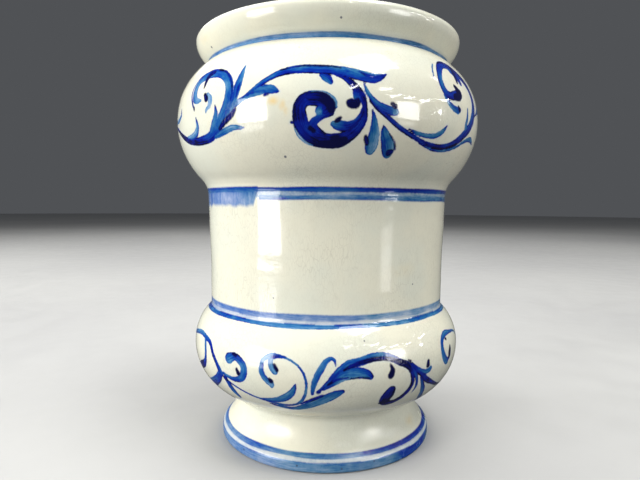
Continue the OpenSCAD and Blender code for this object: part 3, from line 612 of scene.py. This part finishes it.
def paint_strokes(wash, dark, groups):
    """Paints groups of strokes on the front and again behind: (light, heavy, angle, lift)."""
    for half_turn in (0, 180):
        for light, heavy, place, lift in groups:
            for strokes, layer in ((light, wash), (heavy, dark)):
                for points, side in strokes:
                    layer.stroke(points, side, half_turn + place, lift)


def paint_upper_bulb(wash, dark):
    """Scrolls at the left, in the middle (again a quarter turn on) and at the right."""
    middle = UPPER_MIDDLE, UPPER_MIDDLE_DARK
    paint_strokes(wash, dark, ((UPPER_LEFT, UPPER_LEFT_DARK, 0, 0), (*middle, 0, 0), (*middle, 90, -0.6),
                               (UPPER_RIGHT, UPPER_RIGHT_DARK, 0, 0)))
    neck_line(wash, S_NECK - S_UP)


def paint_lower_bulb(wash, dark):
    """One long scroll and, at two places on it, the same sprig."""
    sprig = LOWER_SPRIG, LOWER_SPRIG_DARK
    paint_strokes(wash, dark, ((LOWER_SCROLLS, LOWER_SCROLLS_DARK, 0, 0), (*sprig, 0, 0), (*sprig, 82, 0)))
    waist_line(wash, S_WAIST - S_LOW)


ragged = waves(41, 14, 6, 60)
soft = waves(42, 9, 2, 16)
streak = waves(46, 26, 30, 150)
RUN_TOP = 126           # height at which the run colour starts


def run_depth(phi):
    """Depth in mm of the run colour under the shoulder line, by angle."""
    out = np.zeros(np.shape(phi))
    for a0, a1 in ((-84.0, -28.0), (118.0, 141.0)):
        inside_patch = np.clip((phi - a0) / 4, 0, 1) * np.clip((a1 - phi) / 3, 0, 1)
        out = np.maximum(out, inside_patch * (8.2 + 1.0 * ragged(phi) + .6 * soft(phi)))
    return out


def paint_waist(wash, dark):
    """Lines under the shoulder, a patch where their colour ran, and lines at the foot of the waist."""
    phi, down = wash.phi[None, :], RUN_TOP - wash.t[:, None]
    wash.band(mix_waves(121.4, .3, 43), mix_waves(1.25, .25, 44), mix_waves(.43, .07, 45), -.14,
              lambda angle: np.where(run_depth(angle) < 1.0, 1, 0))
    wash.band(const(123.0), const(1.7), mix_waves(.33, .05, 55), 0, cap=.2)
    depth = run_depth(phi)
    run = np.where(depth > .5, np.minimum(down, .4 * (depth - down)), FAR)
    tone = np.clip(.29 + .34 * np.exp(-down / 2.2) + .13 * streak(phi), .1, 1)
    wash.lay(..., run, tone=tone, across=np.radians(phi) * WAIST_R, along=wash.t[:, None])
    wash.band(mix_waves(70.7, .12, 47), mix_waves(1.45, .15, 48),
              by_angle([(-60, .34), (0, .34), (30, .3), (60, .2), (120, .3), (180, .36)], .05, 49), .1)
    waist_line(wash, WAIST_Z)
    line_tone = [(-80, .58), (-34, .56), (-22, .62), (10, .68), (35, .78), (70, .72), (180, .64)]
    dark.band(mix_waves(124.65, .15, 51), mix_waves(1.05, .2, 52), by_angle(line_tone, .06, 53), .1)


def paint_collar(wash, dark):
    """Only the upper half of the line under the collar."""
    neck_line(wash, 0)


def paint_foot(wash, dark):
    """A line round the flare and a wash on the edge, with a thin dark limit."""
    edge_top = OUT.s_at_z(5)
    line_tone = [(-60, .46), (-10, .42), (0, .4), (14, .46), (24, .7), (36, .77), (70, .76), (120, .5),
                 (180, .42)]
    edge_tone = [(-60, .36), (-35, .34), (-12, .38), (6, .36), (16, .5), (24, .34), (31, .3), (40, .58),
                 (60, .7), (110, .35), (180, .36)]
    wash.band(mix_waves(OUT.s_at_z(7.1), .12, 61), mix_waves(1.25, .15, 62), by_angle(line_tone, .04, 63), .1)
    wash.band(const(edge_top / 2), mix_waves(edge_top / 2, .15, 64), by_angle(edge_tone, .09, 65), .06)
    wash.band(const(edge_top + .6), const(.9), const(.0), 0, cap=.1)
    dark.band(mix_waves(edge_top - .4, .2, 66), mix_waves(.1, .3, 67, 12, 6, 40), mix_waves(.62, .1, 68), 0)


def waist_rows():
    """Rows close together by the lines at both ends of the waist."""
    low, high = OUT.s_at_z(74), OUT.s_at_z(114)
    parts = [np.arange(S_WAIST, low, .5), np.arange(low, high, 1.6), np.arange(high, S_SHOULDER, .5)]
    s = np.unique(np.round(np.concatenate([*parts, [S_SHOULDER]]), 6))
    s = s[np.concatenate([[True], np.diff(s) > .12])]
    s[-1] = S_SHOULDER
    return s


BULB_COLUMNS, WAIST_COLUMNS, RIM_COLUMNS, INSIDE_COLUMNS, UNDER_COLUMNS = 880, 800, 720, 360, 240
RIM_STEP = 0.45

s_up = rows_between(S_SHOULDER, S_NECK, 0.56, 1.5, S_UP - 23.2, S_UP + 22.6)
s_lo = rows_between(S_FOOT, S_WAIST, 0.53, 1.2, S_LOW - 26.5, S_WAIST)
s_wa = waist_rows()
s_co = even_rows(S_NECK, S_TOP, RIM_STEP)
s_fo = even_rows(0, S_FOOT, RIM_STEP)
upper = painted_piece("upper_bulb_glaze", s_up, s_up - S_UP, UP_R, BULB_COLUMNS, paint_upper_bulb,
                      [(-15.8, -.4, 2.7, 1.5, .85), (-13.3, -2, 1.3, 2, .8), (-12.2, -4.6, .9, 1.8, .65),
                       (117, 12, 4, 2, .5)])
lower = painted_piece("lower_bulb_glaze", s_lo, s_lo - S_LOW, LO_R, BULB_COLUMNS, paint_lower_bulb,
                      [(100, -20, 5, 2, .4), (-8, -25, 6, 2, .25)])
waist = painted_piece("waist_glaze", s_wa, OUT.at(s_wa)[:, 1], WAIST_R, WAIST_COLUMNS, paint_waist,
                      [(34, 90, 8, 3, .15), (-160, 100, 6, 4, .3)])
collar = painted_piece("collar_glaze", s_co, s_co - S_NECK, COLLAR_MID_R, RIM_COLUMNS, paint_collar,
                       [(-60, 9, 6, 2, .25), (150, 6, 5, 3, .3)])
foot = painted_piece("foot_glaze", s_fo, s_fo, FOOT_R, RIM_COLUMNS, paint_foot, [(60, 14, 5, 3, .3)])
inner = lathe_piece("inside_glaze", IN, np.linspace(0, IN.s[-1], 170), INSIDE_COLUMNS, {}, inner_rows=60)
base = lathe_piece("underside_glaze", UNDER, np.linspace(0, UNDER.s[-1], 60), UNDER_COLUMNS, {}, wobble=False,
                   inner_rows=20)


# ---------------- materials
def lin(r, g, b):
    """A colour given in sRGB, 0 to 255."""
    linear = [c / 255 / 12.92 if c <= 10 else ((c / 255 + .055) / 1.055) ** 2.4 for c in (r, g, b)]
    return (*linear, 1.0)


class Graph:
    """A material and short ways to add nodes to it. Sockets go by name or number."""

    def __init__(self, name):
        self.mat = bpy.data.materials.new(name)
        self.mat.use_nodes = True
        self.nt = self.mat.node_tree
        self.nt.nodes.clear()
        out = self.nt.nodes.new("ShaderNodeOutputMaterial")
        self.bsdf = self.nt.nodes.new("ShaderNodeBsdfPrincipled")
        self.nt.links.new(self.bsdf.outputs[0], out.inputs[0])

    def put(self, node, inputs):
        for key, value in inputs.items():
            if hasattr(value, "is_output"):
                self.nt.links.new(value, node.inputs[key])
            else:
                node.inputs[key].default_value = value

    def add(self, kind, inputs, out=0, **props):
        """Adds a node and returns one of its outputs, or the node itself where out is None."""
        n = self.nt.nodes.new("ShaderNode" + kind)
        for key, value in props.items():
            setattr(n, key, value)
        self.put(n, inputs)
        return n if out is None else n.outputs[out]

    def math(self, op, a, b, clamp=False):
        return self.add("Math", {0: a, 1: b}, operation=op, use_clamp=clamp)

    def times(self, a, b):
        return self.math("MULTIPLY", a, b)

    def swing(self, noise, amount):
        """Noise made to swing about zero."""
        return self.times(self.math("SUBTRACT", noise, .5), amount)

    def attr(self, name):
        return self.add("Attribute", {}, "Fac", attribute_name=name)

    def ramp(self, v, a, b, lo=0.0, hi=1.0):
        ends = {"Value": v, "From Min": a, "From Max": b, "To Min": lo, "To Max": hi}
        return self.add("MapRange", ends, interpolation_type="SMOOTHSTEP")

    def position(self):
        return self.add("TexCoord", {}, "Object")

    def noise(self, v, scale, detail=2.0, rough=0.5, out="Fac"):
        return self.add("TexNoise", {"Vector": v, "Scale": scale, "Detail": detail, "Roughness": rough}, out)

    def voronoi(self, v, scale, feature, out="Distance"):
        return self.add("TexVoronoi", {"Vector": v, "Scale": scale}, out, feature=feature)

    def mix(self, fac, a, b):
        return self.add("Mix", {0: fac, 6: a, 7: b}, 2, data_type="RGBA")

    def colours(self, v, steps, shades):
        n = self.add("ValToRGB", {0: v}, None)
        elements = n.color_ramp.elements
        while len(elements) < len(steps):
            elements.new(0.5)
        for e, step in zip(elements, steps):
            e.position = step
        for e, shade in zip(elements, shades):
            e.color = lin(*shade)
        return n.outputs[0]

    def bumps(self, *layers):
        """Bump maps on top of each other: (height, distance, strength)."""
        normal = {}
        for height, distance, strength in layers:
            n = self.add("Bump", {"Height": height, "Distance": distance, "Strength": strength, **normal})
            normal = {"Normal": n}
        return n

    def surface(self, colour, roughness, **more):
        """Sets the shader's inputs and returns the material."""
        self.put(self.bsdf, {"Base Color": colour, "Roughness": roughness, **more})
        return self.mat


# From thin wash to thick cobalt
INK_STEPS = (0.0, .15, .30, .45, .60, .72, .84, .93, 1.0)
TEAL = ((198, 207, 216), (150, 174, 202), (98, 143, 182), (50, 114, 160), (16, 82, 152), (6, 52, 150),
        (2, 26, 138), (2, 14, 112), (1, 4, 60))
VIOLET = ((204, 207, 224), (162, 174, 214), (116, 140, 198), (74, 108, 184), (34, 74, 170), (12, 48, 156),
          (4, 26, 140), (2, 13, 112), (1, 4, 60))


def glaze_base(g, craze, tall, craze_strength, tint):
    """Cream tin glaze with crazing and specks. Returns place, colour, roughness and cracks."""
    p = g.position()
    cloud = g.noise(p, 26, 3, .55)
    fine = g.noise(p, 190, 3, .6)
    warm = lin(230 + tint[0], 227 + tint[1], 207 + tint[2])
    cool = lin(221 + tint[0], 222 + tint[1], 206 + tint[2])
    col = g.mix(g.ramp(cloud, .35, .65), warm, cool)
    col = g.mix(g.ramp(fine, .45, .75, 0, .16), col, lin(206, 202, 184))
    stretched = g.add("Mapping", {"Vector": p, "Scale": (1, 1, tall)})
    wander = g.add("VectorMath", {0: g.noise(p, 170, out="Color"), "Scale": .0014}, operation="SCALE")
    warped = g.add("VectorMath", {0: stretched, 1: wander}, operation="ADD")
    cracks = g.ramp(g.voronoi(warped, craze, "DISTANCE_TO_EDGE"), .0, .08, 1, 0)
    shown = g.times(cracks, g.ramp(g.noise(p, 34), .38, .62, .25, 1.0))
    col = g.mix(g.times(shown, craze_strength), col, lin(140, 132, 112))
    spot = g.voronoi(p, 95, "F1", out=None)
    chance = g.add("SeparateColor", {0: spot.outputs["Color"]}, None)
    chosen = g.math("GREATER_THAN", chance.outputs[0], .84)
    within = g.math("LESS_THAN", spot.outputs["Distance"], g.times(chance.outputs[1], .045))
    col = g.mix(g.times(g.times(chosen, within), .5), col, lin(120, 110, 98))
    rough = g.ramp(g.noise(p, 60, 3, .6), .3, .7, .045, .075)
    return p, col, rough, shown


def halo(g, col, strength):
    """The faint blue bleed round the painted strokes."""
    ink, tone = g.attr("ink_a"), g.attr("tone_a")
    near = g.ramp(ink, -1.3, .1, 0, 1)
    amount = g.times(g.times(near, near), g.times(g.ramp(tone, .2, .9, .2, .7), strength))
    return g.mix(amount, col, lin(176, 198, 222))


def add_ink(g, p, col, tag, violet, gain, soft, rim, torn, dull):
    """Lays one layer of cobalt over the colour col."""
    ink, tone = g.attr("ink_" + tag), g.attr("tone_" + tag)
    across, along = g.attr("across_" + tag), g.attr("along_" + tag)
    ragged_ink = g.math("ADD", g.math("ADD", ink, .06), g.swing(g.noise(p, 850, 2, .6), torn))
    mask = g.ramp(ragged_ink, -.16 - soft * .6, .22 + soft)
    hair = g.noise(g.add("CombineXYZ", {0: g.times(across, 1.5), 1: g.times(along, .16)}), 1.0, 3, .6)
    pool = g.noise(p, 210, 3, .6)
    drift = g.noise(p, 70, 1, .5)
    edge = g.ramp(ink, .05, .75, 1, 0)
    depth = tone
    for part in (g.swing(hair, .55 * gain), g.swing(pool, .44 * gain), g.swing(drift, .42 * gain)):
        depth = g.math("ADD", depth, part)
    depth = g.math("ADD", depth, g.times(edge, g.ramp(g.noise(p, 160), .4, .6, -.03, rim)), clamp=True)
    lean = g.math("SUBTRACT", g.swing(g.noise(p, 24), .22), g.add("SeparateXYZ", {0: p}))
    hue = g.times(g.ramp(lean, -.03, .045), violet)
    paint = g.mix(hue, g.colours(depth, INK_STEPS, TEAL), g.colours(depth, INK_STEPS, VIOLET))
    if dull:
        paint = g.mix(g.ramp(depth, .2, .75, dull, 0), paint, lin(118, 132, 148))
    return g.mix(mask, col, paint)


# Specks of ink: (angle, distance along the outline in mm, radius in mm)
SPECKS = [(-13.7, 153.5, .5), (4.7, 216.9, .45), (-57.9, 213.8, .55), (71, 150, .4), (133, 156, .45),
          (-120, 196, .4), (-22, 92, .3), (40, 97, .35), (95, 102, .4), (-100, 124, .4), (150, 78, .4),
          (14.5, 74, .35), (-75, 60, .4), (-13, 3.2, .45), (8, 2.4, .4), (24, 4, .35), (-44, 3.4, .45),
          (160, 222, .4)]


def add_specks(g, p, col):
    """Dark dots of kiln dirt and ink, each at its own place on the wall."""
    nearest = None
    for phi, s, radius in SPECKS:
        place = OUT.at([s])[0] + OUT.normal([s])[0] * thrown(np.array(phi), np.array(s))
        a = math.radians(phi)
        spot = [v * MM for v in (place[0] * math.sin(a), -place[0] * math.cos(a), place[1])]
        d = g.add("VectorMath", {0: p, 1: spot}, "Value", operation="DISTANCE")
        d = g.math("SUBTRACT", d, radius * MM)
        nearest = d if nearest is None else g.math("MINIMUM", nearest, d)
    jitter = g.swing(g.noise(p, 1500, 1), .0003)
    return g.mix(g.ramp(g.math("ADD", nearest, jitter), .00015, -.0001, 0, .8), col, lin(70, 76, 96))


def glaze_material(name, painted=True, violet=.3, craze=700.0, tall=.6, craze_strength=.11, tint=(0, 0, 0),
                   rim=.26, soft=0.0, torn=.6, bleed=.5, dull=0.0, matt=0.0):
    """Glaze with or without paint.

    violet, dull: how far the ink leans to violet, and to grey where it is thin
    craze, tall, craze_strength: cells per metre, their stretch and how dark the cracks are
    rim, soft, torn, bleed: darker edge, soft edge, ragged edge and halo of the strokes
    tint, matt: added to the colour of the glaze and to its roughness
    """
    g = Graph(name)
    p, col, rough, cracks = glaze_base(g, craze, tall, craze_strength, tint)
    if painted:
        stain = g.times(g.attr("stain"), g.ramp(g.noise(p, 260), .3, .7, .35, 1.0))
        col = g.mix(stain, col, lin(232, 206, 146))
        col = halo(g, col, bleed)
        col = add_ink(g, p, col, "a", violet, 1.0, soft, rim, torn, dull)
        col = add_ink(g, p, col, "b", violet * .4, .5, .22, rim, torn, dull)
        col = add_specks(g, p, col)
    normal = g.bumps((g.noise(p, 95), .00022, .5), (g.noise(p, 620), .00003, .35), (cracks, -.00003, .4))
    return g.surface(col, g.math("ADD", rough, matt), Normal=normal, IOR=1.55)


def clay_material():
    """Bare fired clay: sandy, with grit and worn places."""
    g = Graph("bare_clay")
    p = g.position()
    col = g.mix(g.ramp(g.noise(p, 40, 4, .6), .35, .65), lin(206, 172, 136), lin(182, 146, 110))
    grit = g.voronoi(p, 900, "F1")
    col = g.mix(g.ramp(grit, .0, .28, .5, 0), col, lin(120, 92, 68))
    worn = g.ramp(g.noise(p, 130, 3, .6), .5, .72, 0, .55)
    col = g.mix(worn, col, lin(148, 130, 112))
    return g.surface(col, g.ramp(g.noise(p, 300, 3, .6), .3, .7, .75, .95),
                     Normal=g.bumps((g.noise(p, 1400, 4, .7), .00015, .6)))


def floor_material():
    """Plain pale paper."""
    g = Graph("floor_paper")
    p = g.position()
    shade = g.mix(g.ramp(g.noise(p, 3, 3, .5), .3, .7), lin(184, 184, 182), lin(177, 177, 176))
    return g.surface(shade, g.ramp(g.noise(p, 40), .3, .7, .5, .65))


bulb_mat = glaze_material("painted_glaze_bulbs", violet=.16, craze_strength=.17)
waist_mat = glaze_material("painted_glaze_waist", violet=.75, craze=900.0, tall=.28, craze_strength=.2,
                           rim=.06, soft=.35, torn=.4, bleed=.25, dull=.2)
line_look = {"rim": .06, "soft": .2, "torn": .25, "bleed": .12}
rim_mat = glaze_material("painted_glaze_rims", violet=.3, dull=.15, **line_look)
foot_mat = glaze_material("painted_glaze_foot", violet=.55, dull=.3, matt=.2, **line_look)
inside_mat = glaze_material("plain_glaze", painted=False, craze_strength=.16, tint=(-4, -3, -4))
clay = clay_material()
for ob, mat in ((upper, bulb_mat), (lower, bulb_mat), (waist, waist_mat), (collar, rim_mat), (foot, foot_mat),
                (inner, inside_mat), (base, inside_mat)):
    ob.data.materials.append(mat)
for node_name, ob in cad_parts.items():
    if node_name.startswith("clay"):
        for slot in ob.material_slots:
            slot.material = clay

for ob, slot in ((upper, "glaze_outside"), (lower, "glaze_outside"), (waist, "glaze_outside"),
                 (collar, "glaze_outside"), (foot, "glaze_outside"), (inner, "glaze_inside"),
                 (base, "glaze_inside")):
    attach(ob, "root")
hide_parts("outer_glaze", "upper_scrolls", "upper_leaves")
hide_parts("outer_glaze", "lower_scrolls", "lower_leaves", "waist_line")
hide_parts("outer_glaze", "shoulder_line", "shoulder_wash", "waist_wash")
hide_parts("outer_glaze", "neck_line")
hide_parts("outer_glaze", "foot_line", "foot_edge_wash")
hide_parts("inner_glaze")
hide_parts("base_glaze")

# ---------------- floor, light, camera
bpy.ops.mesh.primitive_circle_add(vertices=96, radius=6, fill_type="NGON", location=(0, 0, 0))
floor = bpy.context.object
floor.name = "floor"
floor.data.materials.append(floor_material())
floor.visible_glossy = floor.visible_diffuse = False    # no pale light is thrown up at the jar from below

scene = bpy.context.scene
world = bpy.data.worlds.new("studio")
scene.world = world
world.use_nodes = True
world.node_tree.nodes["Background"].inputs[0].default_value = (.62, .65, .70, 1)
world.node_tree.nodes["Background"].inputs[1].default_value = .13
scene.view_settings.view_transform = "Standard"

AIM = (0, 0, .12)
WINDOW, DAYLIGHT = (1, .99, .97), (1, .995, .98)


def placed(pos, yaw, tilt, roll):
    """A matrix for a light or camera: rolled, lifted by tilt from straight down and turned, in degrees."""
    matrix = Matrix.Translation(pos)
    for angle, axis in ((yaw, "Z"), (tilt, "X"), (roll, "Z")):
        matrix = matrix @ Matrix.Rotation(math.radians(angle), 4, axis)
    return matrix


def softbox(name, azimuth, elevation, distance, width, height, power, colour=DAYLIGHT, gloss=True,
            diffuse=True, roll=0.0):
    """A soft light aimed at the jar's middle. Azimuth is measured from the front towards +X."""
    a, e = math.radians(azimuth), math.radians(elevation)
    light = bpy.data.lights.new(name, "AREA")
    light.shape = "RECTANGLE"
    light.size, light.size_y = width, height
    light.energy = power
    light.color = colour
    ob = bpy.data.objects.new(name, light)
    direction = np.array([math.sin(a) * math.cos(e), -math.cos(a) * math.cos(e), math.sin(e)])
    pos = np.array(AIM) + distance * direction
    ob.matrix_world = placed(pos, azimuth, 90 - elevation, roll)
    ob.visible_glossy, ob.visible_diffuse = gloss, diffuse
    scene.collection.objects.link(ob)


# Windows are seen in the glaze only, and the key and fill lights shine without being seen in it
# (name, azimuth, elevation, distance, width, height, power)
for box in (("window_left", -53, 2.6, 1.6, .66, .68, 15), ("window_left_sill", -55, -14, 1.6, .52, .16, 1.3),
            ("window_right", 57.3, 4.3, 1.6, .47, .46, 6.8),
            ("window_right_sill", 57, -9.5, 1.6, .3, .16, .5)):
    softbox(*box, colour=WINDOW, diffuse=False)
for box in (("key_left", -55, 10, 1.6, .8, .8, 23.5), ("key_side", -95, 15, 1.6, .8, .8, 22),
            ("key_top", 10, 84, 1.6, 1.2, 1.2, 23), ("fill_right", 45, 3, 1.8, 1.0, .6, 12.5),
            ("fill_side", 95, 15, 1.6, .8, .8, 6.3)):
    softbox(*box, gloss=False)
softbox("fill_back", 190, 40, 2.0, 1.6, 1.0, 12)
softbox("ceiling", 52, 63, 1.5, .62, .5, 10.6)
# Lamps across the room, seen as short dashes in the glaze: (azimuth, elevation, length, roll)
LAMP_WIDTH, POWER_PER_METRE = .025, 5
LAMPS = [(20, 29.8, .22, 50), (47, 49.5, .3, 28), (44, 28.4, .26, 22), (47.8, 19, .22, 24),
         (59.2, 17.6, .22, 12), (72.2, 16, .24, 10), (91.7, 18.1, .22, 10), (96.4, 38.2, .07, 0)]
for i, (azimuth, elevation, length, roll) in enumerate(LAMPS):
    softbox(f"lamp_{i}", azimuth, elevation, 1.6, length, LAMP_WIDTH, POWER_PER_METRE * length,
            diffuse=False, roll=roll)
softbox("lamp_low", 84.7, 7.3, 1.6, .08, .1, .7, diffuse=False, roll=45)

# The photo's angle: a short lens close to the jar, looking slightly down
cam = bpy.data.cameras.new("camera")
cam.lens = 28.9
cam.sensor_width = 36
cam_ob = bpy.data.objects.new("camera", cam)
CAM_PLACE, CAM_YAW, CAM_DOWN, CAM_ROLL = (0, -.2728, .1186), .69, 3.99, .37
cam_ob.matrix_world = placed(CAM_PLACE, CAM_YAW, 90 - CAM_DOWN, CAM_ROLL)
scene.collection.objects.link(cam_ob)
scene.camera = cam_ob
